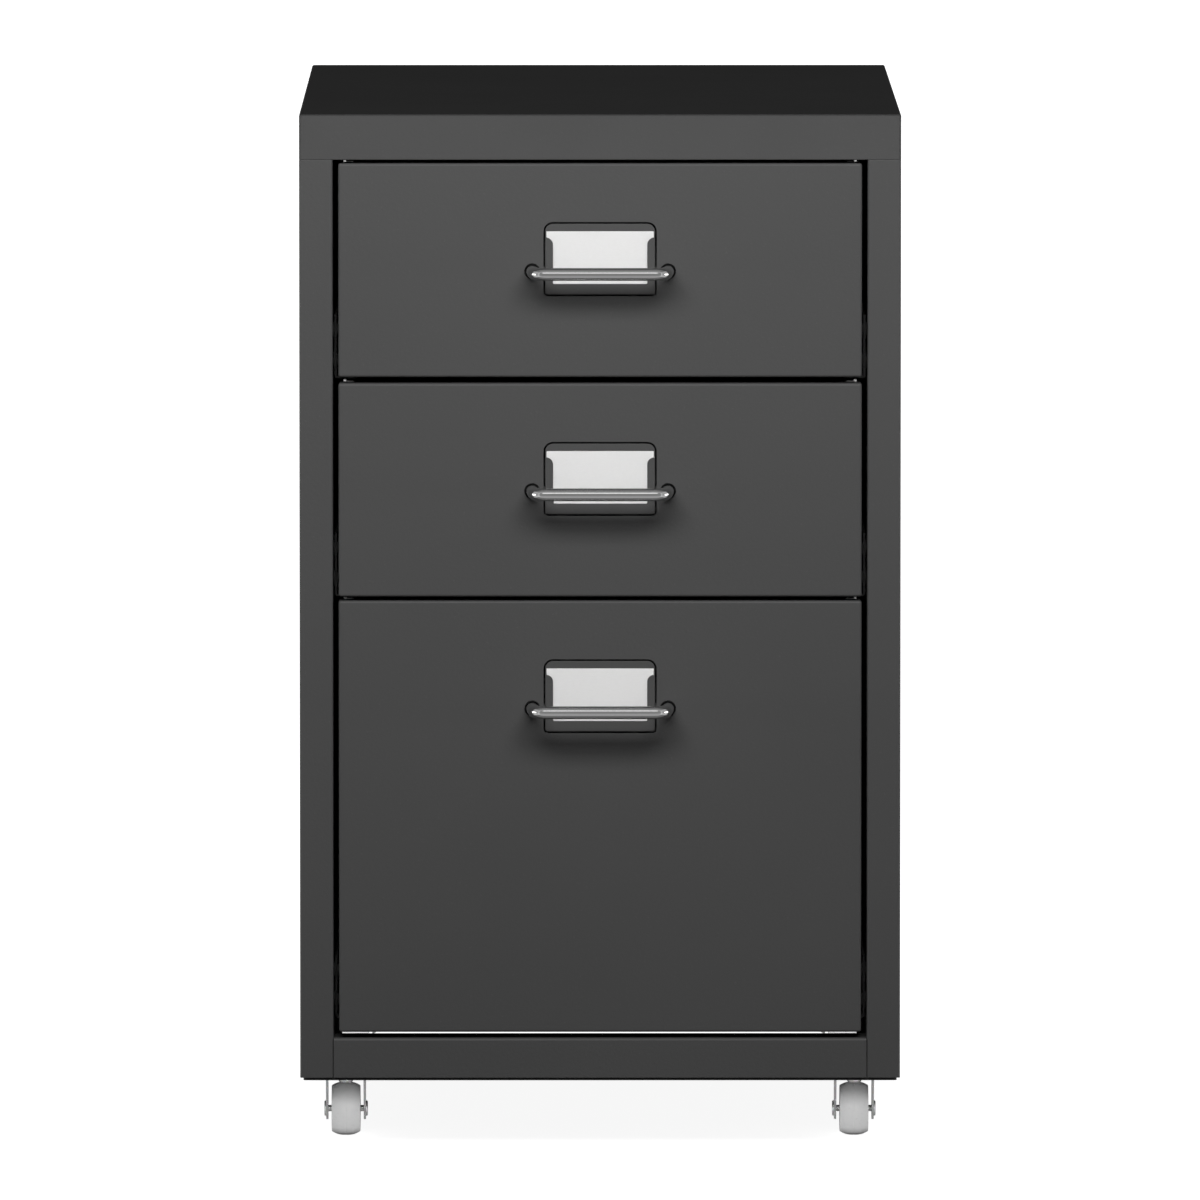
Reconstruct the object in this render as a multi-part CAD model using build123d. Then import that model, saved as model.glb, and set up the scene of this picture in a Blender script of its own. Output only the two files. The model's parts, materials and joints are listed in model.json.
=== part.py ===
from build123d import *
import os
from math import cos, pi, sin

# Small steel drawer cabinet on casters. Millimetres, +Z up, standing on Z = 0, front towards -Y.
# The origin is the bottom centre of the whole cabinet, pulls included.

# ---- Driving dimensions ----
WIDTH = 280.0
DEPTH = 430.0  # sheet-metal body alone
BODY_BOTTOM = 30.65  # lower edge of the panels above the floor
SHEET = 0.8  # cabinet sheet
BEND = 1.2  # outer radius of a fold
TOUCH_GAP = 0.4  # slip gap between nested sheets
SLACK = 0.2  # smallest clearance kept between a cut and the metal beside it
CUT = 1.0  # how far a cutting shape runs past the metal

CAP_HEIGHT = 21.2
CAP_LIP = 15.2  # inward lip under the cap's skirt
CAP_CORNER = 1.2
CAP_TOP_BEND = 1.0
SEAM_ROUND = 0.3  # broken edges where the cap meets the side panels
STILE_WIDTH = 15.6  # folded front and rear edges of a side panel
STILE_RETURN = 30.0
PANEL_FOOT = 17.2  # inward flange along the foot of a side panel
PLINTH_HEIGHT = 18.55
PLINTH_FLANGE = 23.5
PLINTH_DOWNTURN = 7.0
PLINTH_TAB = 14.0  # end tabs, from the front plane
PLINTH_HALF_WIDTH = 124.3
BACK_FOLD = 12.0

CHANNEL_SHEET = 1.0
CHANNEL_INSET = 1.5  # channel ends and skirts stand this far inside the body's outline
CHANNEL_DROP = 1.3  # how far the outer skirt shows below the body
CHANNEL_TOP = 36.5
CHANNEL_DEPTH = 62.0
CHANNEL_CORNER = 1.4
CHANNEL_CLEARANCE = 2.0  # folds end this far beyond the channel
KINGPIN_HOLE_RADIUS = 5.0

# ---- Drawers, from the top down ----
FRONT_WIDTH = 243.6
FRONT_RETURN = 12.0
FRONT_CORNER = 1.2
FRONT_BEND = 1.1
FRONT_REAR_LIP = 9.0
GAP_UNDER_CAP = 1.7
#          name      front height  gap below  rail foot below the front's lower edge
DRAWERS = [
    ("top", 99.6, 2.9, 1.9),
    ("middle", 99.6, 1.95, 1.5),
    ("bottom", 201.95, 2.9, -4.5),
]
TRAY_SHEET = 0.7
TRAY_WIDTH = 241.0
TRAY_DEPTH = 390.0
TRAY_TOP_DROP = 3.0  # tray rim below the top of the front
TRAY_HEM = 6.0
TRAY_CORNER = 1.2
TRAY_BEND = 1.1
HEM_DROP = 3.5

RAIL_SHEET = 1.0
RAIL_WEB_X = 123.8  # outer face of the rail's web
RAIL_FOOT = 10.0
RAIL_HEIGHT = 29.6
RAIL_SETBACK = 20.0
RAIL_LENGTH = 390.0
RAIL_BEND = 1.5
RAIL_CLEARANCE = 0.1  # between a tray and the rail foot under it
DIMPLE_RADIUS = 4.0

# ---- Label holder and pull ----
HOLDER_WIDTH = 51.1
HOLDER_HEIGHT = 32.95
HOLDER_DROP = 28.15  # top of the holder below the top of the front
HOLDER_SHEET = 0.5
HOLDER_PROUD = 1.1
HOLDER_TOP_RADIUS = 3.6
HOLDER_BOTTOM_RADIUS = 1.3
HOLDER_BACKING = (1.6, 3.4)  # hidden rim behind the front, at the sides and above and below
HOLDER_GAP = 0.8  # open line round the holder
TAB_WIDTH = 4.0  # tabs that cross the line to the hidden rim
TAB_X = 15.0  # tabs below the holder, from the middle
SIDE_FLANGE = 3.6
BOTTOM_FLANGE = 5.05
FLANGE_START = 6.35  # the side flanges start this far below the top
FLANGE_CORNER = 3.2
SILL_CORNER = 0.6
HOLDER_EDGE = 0.5
CARD_DROP = 3.45
CARD_THICKNESS = 0.4
CARD_SIDE_PLAY = 0.08
CARD_BACK_PLAY = 0.05

PULL_WIRE = 6.0
PULL_SPAN = 60.2  # between the leg centres at the bar
PULL_FOOT_SPAN = 63.2  # between the leg centres in the ferrules
PULL_KNEE = 2.0  # the legs run straight out this far before they lean in
PULL_PROJECTION = 26.5  # front of the bar from the drawer's face
PULL_BEND = 6.0
PULL_DROP = 50.15  # bar below the top of the front
FERRULE_FLANGE_RADIUS = 3.65
FERRULE_NECK_RADIUS = 3.35
FERRULE_PROUD = 1.2
FERRULE_NECK = 2.5
FERRULE_EDGE = 0.4
PEEN_RADIUS = 3.8
PEEN_LENGTH = 1.4

GLIDE_LENGTH = 8.0
GLIDE_WIDTH = 5.0
GLIDE_CORNER = 1.5
GLIDE_CROWN = 0.9
GLIDE_PEG_RADIUS = 1.2
GLIDE_PEG_LENGTH = 2.6
GLIDE_RIB_WIDTH = 1.2
GLIDE_RIB_LENGTH = 5.0
GLIDE_RIB_RISE = 0.9  # above the top of the front
GLIDE_RIB_EDGE = 0.35
GLIDE_RIB_INSET = 0.1  # from the button's outer side

# ---- Casters ----
CASTER_X = 119.0
KINGPIN_SETBACK = 23.0  # from the front or back plane
TRAIL = 12.0
WHEEL_RADIUS = 12.5
WHEEL_WIDTH = 13.4
SHOULDER_RADIUS = 10.75
TREAD_FLAT = 2.0  # level middle of the tread, between its two rounded shoulders
RIM_THICKNESS = 1.4
WHEEL_DISH = 1.2
DISH_SLOPE = 0.8
HUB_WIDTH = 13.6
HUB_RADIUS = 4.2
AXLE_RADIUS = 1.5
AXLE_LENGTH = 20.4
AXLE_HEAD_RADIUS = 3.6
AXLE_HEAD_EDGE = 0.6
RUNNING_FIT = 0.05  # radial clearance of the wheel on its axle and the fork on its kingpin
FORK_WIDTH = 18.6
FORK_SHEET = 1.0
FORK_END_RADIUS = 5.2
CROWN_BOTTOM = 30.2
CROWN_RADIUS = 10.5
CROWN_REAR = 15.0
CROWN_BEND = 0.9
LEG_SHOULDER_FRONT = 4.0  # how far a leg's top reaches ahead of the kingpin
LEG_SHOULDER_HEIGHT = 2.4
RACE_RADIUS = 9.2
RACE_HEIGHT = 2.2
BALL_RADIUS = 1.1
BALL_CIRCLE = 6.5
BALL_GAP = 0.3  # between the balls and the crown
BALLS_PER_RACE = 10
PLATE_SIZE = 36.0
PLATE_CORNER = 4.0
PLATE_THICKNESS = 1.5
PLATE_BOTTOM = 34.0
PLATE_SCREW_PITCH = 27.0
KINGPIN_RADIUS = 2.5
KINGPIN_HEAD_RADIUS = 3.5
KINGPIN_HEAD_BOTTOM = 26.0
KINGPIN_HEAD_EDGE = 1.4
KINGPIN_HEAD_GAP = 0.3  # between the head and the crown above it
SWAGE_RADIUS = 4.0
SWAGE_HEIGHT = 0.9

# ---- Fasteners ----
RIVET_RADIUS = 1.6
RIVET_HEAD_RADIUS = 3.2
RIVET_HEAD = 0.8
RIVET_HEAD_EDGE = 0.5
RIVET_TAIL_RADIUS = 2.4
RIVET_TAIL = 1.6
RAIL_RIVET_SETBACK = 25.0  # from the front or back plane
RAIL_RIVET_HEIGHTS = (8.0, 22.0)  # above the rail's foot
BACK_RIVET_SETBACK = 7.0
BACK_RIVET_HEIGHTS = (60.0, 190.0, 320.0, 440.0)
PLINTH_RIVET_SETBACK = 8.0
PLINTH_RIVET_HEIGHT = 12.0  # above the body's lower edge
HOLE_SLACK = 0.05
OVERLAP = 0.5  # how far a shank or peg runs into the head it is joined to
SCREW_RADIUS = 1.95
SCREW_HOLE_RADIUS = 2.1
SCREW_HEAD_RADIUS = 3.4
SCREW_HEAD = 2.2
SCREW_TIP = 5.0  # cap screw beyond the seam
CAP_SCREW_SETBACK = 60.0
PLATE_SCREW_HEAD = 1.8
PLATE_SCREW_EDGE = 0.8
PLATE_SCREW_TIP = 4.0  # above the channel
NUT_HEIGHT = 2.8

# ---- Derived places ----
FRONT = PULL_PROJECTION / 2 - DEPTH / 2  # Y of the front plane
BACK = FRONT + DEPTH
HALF_WIDTH = WIDTH / 2
STILE_X = HALF_WIDTH - STILE_WIDTH  # inner edge of a stile
DRAWER_STACK = sum(height + gap for _, height, gap, _ in DRAWERS)
CAP_SEAM = BODY_BOTTOM + PLINTH_HEIGHT + DRAWER_STACK + GAP_UNDER_CAP
TOP = CAP_SEAM + CAP_HEIGHT
CHANNEL_NOTCH = CHANNEL_TOP + 0.5  # inner folds end above the base channels
CHANNEL_ZONE = CHANNEL_INSET + CHANNEL_DEPTH + CHANNEL_CLEARANCE  # from the front plane
TRAY_FRONT = FRONT + FRONT_RETURN
HOLDER_FACE = FRONT - HOLDER_PROUD
HOLDER_BED = FRONT + SHEET - HOLDER_SHEET  # face that the card lies on


# ---- Helpers ----
def block(x, y, z):
    """Box between three pairs of lowest and highest coordinates."""
    sides = (x, y, z)
    centre = [(low + high) / 2 for low, high in sides]
    size = [high - low for low, high in sides]
    return Pos(*centre) * Box(*size)


def folded_section(points, thickness=SHEET, radius=BEND):
    """Section of a folded sheet: points run along its outer face, metal lies to their left."""
    outer = FilletPolyline(*points, radius=radius)
    return make_face(offset(outer, thickness, side=Side.LEFT, closed=True).edges())


def rod_x(radius, x, y, z):
    """Cylinder along X between the pair x."""
    return Pos((x[0] + x[1]) / 2, y, z) * Rot(0, 90, 0) * Cylinder(radius, x[1] - x[0])


def rod_y(radius, x, y, z):
    """Cylinder along Y between the pair y."""
    return Pos(x, (y[0] + y[1]) / 2, z) * Rot(90, 0, 0) * Cylinder(radius, y[1] - y[0])


def rod_z(radius, x, y, z):
    """Cylinder along Z between the pair z."""
    return Pos(x, y, (z[0] + z[1]) / 2) * Cylinder(radius, z[1] - z[0])


def plate_xz(sketch, y):
    """A sketch drawn in X and Z, made into a plate between the pair y."""
    return extrude(Plane.XZ.offset(-y[1]) * sketch, amount=y[1] - y[0])


def both_sides(shape):
    """The shape and its mirror image across the cabinet's middle plane."""
    return [shape, mirror(shape, about=Plane.YZ)]


def edges_at(shape, axis, position):
    """Edges that lie wholly at one coordinate along an axis."""
    return shape.edges().filter_by_position(axis, position - 1e-4, position + 1e-4)


def save(name, shape):
    """Writes one node; a list becomes a group of separate solids."""
    if isinstance(shape, list):
        shape = Compound(children=[solid for part in shape for solid in part.solids()])
    export_step(shape, f"parts/{name}.step")


# ---- Fastener places, shared by the holes and the fasteners ----
def rail_rivet_places():
    """(y, z) of the rivets that hold the rails to the stile returns on either side."""
    places = []
    for drawer in drawer_levels():
        for y in (FRONT + RAIL_RIVET_SETBACK, BACK - RAIL_RIVET_SETBACK):
            for height in RAIL_RIVET_HEIGHTS:
                places.append((y, drawer["rail_bottom"] + height))
    return places


def drawer_levels():
    """Heights of each drawer front and of the rails under it, from the top down."""
    levels = []
    front_top = CAP_SEAM - GAP_UNDER_CAP
    for name, height, gap, foot_drop in DRAWERS:
        front_bottom = front_top - height
        levels.append(
            {
                "name": name,
                "top": front_top,
                "bottom": front_bottom,
                "rail_bottom": front_bottom - foot_drop,
            }
        )
        front_top = front_bottom - gap
    return levels


BACK_RIVET_Y = BACK - BACK_RIVET_SETBACK
PLINTH_RIVET = (FRONT + PLINTH_RIVET_SETBACK, BODY_BOTTOM + PLINTH_RIVET_HEIGHT)
CAP_SCREW_X = HALF_WIDTH - STILE_WIDTH / 2
CAP_SCREW_YS = (FRONT + CAP_SCREW_SETBACK, BACK - CAP_SCREW_SETBACK)
SHELL_RIVETS = [(BACK_RIVET_Y, z) for z in BACK_RIVET_HEIGHTS] + [PLINTH_RIVET]


# ---- Cabinet shell ----
def top_cap():
    shell = block((-HALF_WIDTH, HALF_WIDTH), (FRONT, BACK), (CAP_SEAM, TOP))
    shell = fillet(shell.edges().filter_by(Axis.Z), CAP_CORNER)
    shell = fillet(edges_at(shell, Axis.Z, TOP), CAP_TOP_BEND)
    shell = fillet(edges_at(shell, Axis.Z, CAP_SEAM), SEAM_ROUND)
    inner_x = HALF_WIDTH - SHEET
    hollow = block(
        (-inner_x, inner_x),
        (FRONT + SHEET, BACK - SHEET),
        (CAP_SEAM + SHEET, TOP - SHEET),
    )
    hollow = fillet(hollow.edges().filter_by(Axis.Z), CAP_CORNER - SHEET)
    opening_x = inner_x - CAP_LIP
    through_lip = (CAP_SEAM - CUT, CAP_SEAM + SHEET + CUT)
    opening = block(
        (-opening_x, opening_x),
        (FRONT + SHEET + CAP_LIP, BACK - SHEET - CAP_LIP),
        through_lip,
    )
    cap = shell - hollow - opening
    for y in CAP_SCREW_YS:
        for x in (-CAP_SCREW_X, CAP_SCREW_X):
            cap -= rod_z(SCREW_HOLE_RADIUS, x, y, through_lip)
    return cap


def right_side_panel():
    profile = folded_section(
        [
            (STILE_X, FRONT + STILE_RETURN),
            (STILE_X, FRONT),
            (HALF_WIDTH, FRONT),
            (HALF_WIDTH, BACK),
            (STILE_X, BACK),
            (STILE_X, BACK - STILE_RETURN),
        ]
    )
    panel = extrude(Pos(0, 0, BODY_BOTTOM) * profile, amount=CAP_SEAM - BODY_BOTTOM)
    flange_x = (STILE_X + SHEET, HALF_WIDTH - SHEET / 2)
    panel += block(
        flange_x, (FRONT + SHEET / 2, BACK - SHEET / 2), (CAP_SEAM - SHEET, CAP_SEAM)
    )
    panel += block(
        (HALF_WIDTH - PANEL_FOOT, HALF_WIDTH - SHEET / 2),
        (FRONT + CHANNEL_ZONE, BACK - CHANNEL_ZONE),
        (BODY_BOTTOM, BODY_BOTTOM + SHEET),
    )
    outside = edges_at(panel, Axis.X, HALF_WIDTH) + edges_at(panel, Axis.Y, FRONT)
    outside += edges_at(panel, Axis.Y, BACK)
    seam = [edge for edge in outside if abs(edge.center().Z - CAP_SEAM) < 0.01]
    panel = fillet(seam, SEAM_ROUND)
    # The returns stop above the base channels, which pass behind the stiles.
    behind_stile = SHEET + SLACK
    for y in (
        (FRONT + behind_stile, FRONT + CHANNEL_ZONE),
        (BACK - CHANNEL_ZONE, BACK - behind_stile),
    ):
        notch_z = (BODY_BOTTOM - CUT, CHANNEL_NOTCH)
        panel -= block((STILE_X - CUT, HALF_WIDTH - SHEET), y, notch_z)
    for y, z in rail_rivet_places() + SHELL_RIVETS:
        through_return = (STILE_X - CUT, STILE_X + SHEET + CUT)
        panel -= rod_x(RIVET_RADIUS + HOLE_SLACK, through_return, y, z)
    for y in CAP_SCREW_YS:
        through_flange = (CAP_SEAM - SHEET - CUT, CAP_SEAM + CUT)
        panel -= rod_z(SCREW_HOLE_RADIUS, CAP_SCREW_X, y, through_flange)
    return panel


def back_panel():
    half = PLINTH_HALF_WIDTH
    profile = folded_section(
        [(half, BACK - BACK_FOLD), (half, BACK), (-half, BACK), (-half, BACK - BACK_FOLD)]
    )
    panel = extrude(Pos(0, 0, BODY_BOTTOM) * profile, amount=CAP_SEAM - BODY_BOTTOM)
    panel += block(
        (-half + SHEET / 2, half - SHEET / 2),
        (BACK - BACK_FOLD, BACK - SHEET / 2),
        (CAP_SEAM - SHEET, CAP_SEAM),
    )
    across = (-half - CUT, half + CUT)
    panel -= block(
        across,
        (BACK - BACK_FOLD - CUT, BACK - SHEET - SLACK),
        (BODY_BOTTOM - CUT, CHANNEL_NOTCH),
    )
    for z in BACK_RIVET_HEIGHTS:
        panel -= rod_x(RIVET_RADIUS + HOLE_SLACK, across, BACK_RIVET_Y, z)
    return panel


def front_plinth():
    top = BODY_BOTTOM + PLINTH_HEIGHT
    profile = folded_section(
        [
            (FRONT + PLINTH_FLANGE, top - PLINTH_DOWNTURN),
            (FRONT + PLINTH_FLANGE, top),
            (FRONT, top),
            (FRONT, BODY_BOTTOM),
        ]
    )
    half = PLINTH_HALF_WIDTH
    plinth = extrude(Plane.YZ.offset(-half) * profile, amount=2 * half)
    tab = block(
        (half - SHEET, half),
        (FRONT + SHEET / 2, FRONT + PLINTH_TAB),
        (CHANNEL_NOTCH, top - SHEET / 2),
    )
    for side in both_sides(tab):
        plinth += side
    y, z = PLINTH_RIVET
    return plinth - rod_x(RIVET_RADIUS + HOLE_SLACK, (-half - CUT, half + CUT), y, z)


def front_base_channel():
    half = HALF_WIDTH - CHANNEL_INSET
    y = (FRONT + SHEET + TOUCH_GAP, FRONT + CHANNEL_DEPTH)
    skirt_bottom = BODY_BOTTOM - CHANNEL_DROP
    channel = block((-half, half), y, (skirt_bottom, CHANNEL_TOP))
    channel = fillet(channel.edges().filter_by(Axis.Z), CHANNEL_CORNER)
    channel = fillet(edges_at(channel, Axis.Z, CHANNEL_TOP), BEND)
    channel -= block(
        (-half + CHANNEL_SHEET, half - CHANNEL_SHEET),
        (y[0] + CHANNEL_SHEET, y[1] - CHANNEL_SHEET),
        (skirt_bottom - CUT, CHANNEL_TOP - CHANNEL_SHEET),
    )
    through_top = (CHANNEL_TOP - CHANNEL_SHEET - CUT, CHANNEL_TOP + CUT)
    centre_y = FRONT + KINGPIN_SETBACK
    for x in (-CASTER_X, CASTER_X):
        channel -= rod_z(KINGPIN_HOLE_RADIUS, x, centre_y, through_top)
        for dx, dy in screw_corners():
            channel -= rod_z(SCREW_HOLE_RADIUS, x + dx, centre_y + dy, through_top)
    return channel


# ---- Drawer rails ----
def right_rail(bottom):
    """L-shaped rail: a web with two spacing dimples at each end, and a foot turned inwards."""
    profile = folded_section(
        [
            (RAIL_WEB_X - RAIL_FOOT, bottom),
            (RAIL_WEB_X, bottom),
            (RAIL_WEB_X, bottom + RAIL_HEIGHT),
        ],
        thickness=RAIL_SHEET,
        radius=RAIL_BEND,
    )
    start = FRONT + RAIL_SETBACK
    rail = extrude(Plane.XZ.offset(-start - RAIL_LENGTH) * profile, amount=RAIL_LENGTH)
    for y, z in rail_rivet_places():
        if bottom < z < bottom + RAIL_HEIGHT:
            rail += rod_x(DIMPLE_RADIUS, (RAIL_WEB_X - RAIL_SHEET, STILE_X), y, z)
            through_web = (RAIL_WEB_X - RAIL_SHEET - CUT, STILE_X + CUT)
            rail -= rod_x(RIVET_RADIUS + HOLE_SLACK, through_web, y, z)
    return rail


# ---- Drawers ----
def drawer_front(top, bottom):
    half = FRONT_WIDTH / 2
    pan = block((-half, half), (FRONT, TRAY_FRONT), (bottom, top))
    pan = fillet(pan.edges().filter_by(Axis.Y), FRONT_CORNER)
    pan = fillet(edges_at(pan, Axis.Y, FRONT), FRONT_BEND)
    hollow = block(
        (-half + SHEET, half - SHEET),
        (FRONT + SHEET, TRAY_FRONT - SHEET),
        (bottom + SHEET, top - SHEET),
    )
    hollow = fillet(hollow.edges().filter_by(Axis.Y), FRONT_CORNER - SHEET)
    lip = FRONT_REAR_LIP
    opening = block(
        (-half + lip, half - lip),
        (TRAY_FRONT - SHEET - CUT, TRAY_FRONT + CUT),
        (bottom + lip, top - lip),
    )
    through_face = (FRONT - CUT, FRONT + SHEET + CUT)
    pan = pan - hollow - opening
    pan -= plate_xz(holder_outline(top, margin=HOLDER_GAP), through_face)
    for x in (-PULL_FOOT_SPAN / 2, PULL_FOOT_SPAN / 2):
        pan -= rod_y(FERRULE_NECK_RADIUS + HOLE_SLACK, x, through_face, top - PULL_DROP)
    return pan


def drawer_tray(top, rail_bottom):
    """Open steel box with hemmed side and rear walls."""
    half = TRAY_WIDTH / 2
    rear = TRAY_FRONT + TRAY_DEPTH
    bottom = rail_bottom + RAIL_SHEET + RAIL_CLEARANCE
    rim = top - TRAY_TOP_DROP
    sheet = TRAY_SHEET
    tray = block((-half, half), (TRAY_FRONT, rear), (bottom, rim))
    tray = fillet(tray.edges().filter_by(Axis.Z), TRAY_CORNER)
    tray = fillet(edges_at(tray, Axis.Z, bottom), TRAY_BEND)
    tray -= block(
        (-half + sheet, half - sheet),
        (TRAY_FRONT + sheet, rear - sheet),
        (bottom + sheet, rim - sheet),
    )
    mouth_x = half - TRAY_HEM
    through_rim = (rim - sheet - CUT, rim + CUT)
    tray -= block((-mouth_x, mouth_x), (TRAY_FRONT + sheet, rear - TRAY_HEM), through_rim)
    hem = block(
        (mouth_x, mouth_x + sheet),
        (TRAY_FRONT + sheet, rear - TRAY_HEM),
        (rim - HEM_DROP, rim - sheet / 2),
    )
    for side in both_sides(hem):
        tray += side
    tray += block(
        (-mouth_x - sheet, mouth_x + sheet),
        (rear - TRAY_HEM, rear - TRAY_HEM + sheet),
        (rim - HEM_DROP, rim - sheet / 2),
    )
    for x in (-glide_x(), glide_x()):
        tray -= rod_z(GLIDE_PEG_RADIUS + HOLE_SLACK, x, glide_y(), through_rim)
    return tray


def glide_x():
    return TRAY_WIDTH / 2 - GLIDE_WIDTH / 2 - TRAY_SHEET - SLACK


def glide_y():
    return TRAY_FRONT + TRAY_SHEET + SLACK + GLIDE_LENGTH / 2


def drawer_glides(top):
    """White buttons on the tray's front top corners, each with a rib that stands in the gap."""
    rim = top - TRAY_TOP_DROP
    x, y = glide_x(), glide_y()
    button = block(
        (x - GLIDE_WIDTH / 2, x + GLIDE_WIDTH / 2),
        (y - GLIDE_LENGTH / 2, y + GLIDE_LENGTH / 2),
        (rim, top),
    )
    button = fillet(button.edges().filter_by(Axis.Z), GLIDE_CORNER)
    button = fillet(edges_at(button, Axis.Z, top), GLIDE_CROWN)
    button += rod_z(GLIDE_PEG_RADIUS, x, y, (rim - GLIDE_PEG_LENGTH, rim + OVERLAP))
    rib_x = x + GLIDE_WIDTH / 2 - GLIDE_RIB_INSET
    rib_top = top + GLIDE_RIB_RISE
    rib = block(
        (rib_x - GLIDE_RIB_WIDTH, rib_x),
        (y - GLIDE_RIB_LENGTH / 2, y + GLIDE_RIB_LENGTH / 2),
        (rim, rib_top),
    )
    rib = fillet(edges_at(rib, Axis.Z, rib_top), GLIDE_RIB_EDGE)
    return both_sides(button + rib)


# ---- Label holder and card ----
def holder_outline(top, margin=0.0):
    """Outline of the label holder in X and Z, larger by margin all round."""
    upper = top - HOLDER_DROP + margin
    lower = top - HOLDER_DROP - HOLDER_HEIGHT - margin
    width = HOLDER_WIDTH + 2 * margin
    centre = Pos(0, (upper + lower) / 2)
    outline = centre * Rectangle(width, upper - lower)
    outline = fillet(outline.vertices().group_by(Axis.Y)[-1], HOLDER_TOP_RADIUS + margin)
    return fillet(outline.vertices().group_by(Axis.Y)[0], HOLDER_BOTTOM_RADIUS + margin)


def holder_window(top):
    """Opening between the flanges: full width at the top, narrower below with round shoulders."""
    upper = top - HOLDER_DROP
    shoulder = upper - FLANGE_START
    sill = upper - HOLDER_HEIGHT + BOTTOM_FLANGE
    outer = HOLDER_WIDTH / 2 + CUT
    inner = HOLDER_WIDTH / 2 - SIDE_FLANGE
    corners = [FLANGE_CORNER, SILL_CORNER]
    outline = FilletPolyline(
        (-outer, upper + CUT),
        (-outer, shoulder),
        (-inner, shoulder),
        (-inner, sill),
        (inner, sill),
        (inner, shoulder),
        (outer, shoulder),
        (outer, upper + CUT),
        radius=[0, 0, *corners, *reversed(corners), 0, 0],
        close=True,
    )
    return make_face(outline.edges())


def holder_line(top):
    """Open line round the holder, bridged by a tab at each side and two below."""
    line = holder_outline(top, margin=HOLDER_GAP) - holder_outline(top)
    side_tab = Pos(0, top - PULL_DROP) * Rectangle(HOLDER_WIDTH * 2, TAB_WIDTH)
    line -= side_tab
    lower = top - HOLDER_DROP - HOLDER_HEIGHT
    for x in (-TAB_X, TAB_X):
        line -= Pos(x, lower) * Rectangle(TAB_WIDTH, 4 * HOLDER_GAP)
    return line


def label_holder(top):
    holder = plate_xz(holder_outline(top), (HOLDER_FACE, FRONT + SHEET))
    holder = fillet(edges_at(holder, Axis.Y, HOLDER_FACE), HOLDER_EDGE)
    pocket_half = HOLDER_WIDTH / 2 - HOLDER_SHEET
    upper = top - HOLDER_DROP
    holder -= block(
        (-pocket_half, pocket_half),
        (HOLDER_FACE + HOLDER_SHEET, HOLDER_BED),
        (upper - HOLDER_HEIGHT + HOLDER_SHEET, upper + CUT),
    )
    holder -= plate_xz(holder_window(top), (HOLDER_FACE - CUT, HOLDER_BED))
    rim_x, rim_z = HOLDER_BACKING
    backing = block(
        (-HOLDER_WIDTH / 2 - rim_x, HOLDER_WIDTH / 2 + rim_x),
        (FRONT + SHEET, FRONT + SHEET + HOLDER_SHEET),
        (upper - HOLDER_HEIGHT - rim_z, upper + rim_z),
    )
    return holder + backing - plate_xz(holder_line(top), (FRONT + SHEET - CUT, FRONT + SHEET + CUT))


def label_card(top):
    half = HOLDER_WIDTH / 2 - HOLDER_SHEET - CARD_SIDE_PLAY
    upper = top - HOLDER_DROP
    back = HOLDER_BED - CARD_BACK_PLAY
    return block(
        (-half, half),
        (back - CARD_THICKNESS, back),
        (upper - HOLDER_HEIGHT + HOLDER_SHEET + CARD_SIDE_PLAY, upper - CARD_DROP),
    )


# ---- Pull ----
def drawer_pull(top):
    """Bow of round wire whose ends are peened over behind the ferrules."""
    z = top - PULL_DROP
    half = PULL_SPAN / 2
    foot = PULL_FOOT_SPAN / 2
    bar_y = FRONT - PULL_PROJECTION + PULL_WIRE / 2
    knee_y = FRONT - PULL_KNEE
    neck_end = FRONT + FERRULE_NECK
    left = [(-foot, neck_end, z), (-foot, knee_y, z), (-half, bar_y, z)]
    right = [(half, bar_y, z), (foot, knee_y, z), (foot, neck_end, z)]
    path = FilletPolyline(*left, *right, radius=PULL_BEND)
    section = Plane(origin=left[0], z_dir=(0, -1, 0)) * Circle(PULL_WIRE / 2)
    pull = sweep(section, path=path)
    for x in (-foot, foot):
        pull += rod_y(PEEN_RADIUS, x, (neck_end, neck_end + PEEN_LENGTH), z)
    return pull


def pull_ferrules(top):
    """Black sleeves in the front's two holes, with a flange outside."""
    z = top - PULL_DROP
    ferrules = []
    for x in (-PULL_FOOT_SPAN / 2, PULL_FOOT_SPAN / 2):
        flange = rod_y(FERRULE_FLANGE_RADIUS, x, (FRONT - FERRULE_PROUD, FRONT), z)
        flange = fillet(edges_at(flange, Axis.Y, FRONT - FERRULE_PROUD), FERRULE_EDGE)
        neck = rod_y(FERRULE_NECK_RADIUS, x, (FRONT, FRONT + FERRULE_NECK), z)
        bore_y = (FRONT - FERRULE_PROUD - CUT, FRONT + FERRULE_NECK + CUT)
        bore = rod_y(PULL_WIRE / 2, x, bore_y, z)
        ferrules.append(flange + neck - bore)
    return ferrules


# ---- Casters, drawn round a kingpin on the Z axis with the wheel trailing towards +Y ----
def screw_corners():
    """Screw places of a caster plate, from its centre."""
    half = PLATE_SCREW_PITCH / 2
    return [(dx, dy) for dx in (-half, half) for dy in (-half, half)]


def caster_plate():
    half = PLATE_SIZE / 2
    top = PLATE_BOTTOM + PLATE_THICKNESS
    plate = block((-half, half), (-half, half), (PLATE_BOTTOM, top))
    plate = fillet(plate.edges().filter_by(Axis.Z), PLATE_CORNER)
    through = (PLATE_BOTTOM - CUT, top + CUT)
    plate -= rod_z(KINGPIN_RADIUS, 0, 0, through)
    for dx, dy in screw_corners():
        plate -= rod_z(SCREW_HOLE_RADIUS, dx, dy, through)
    return plate


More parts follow.
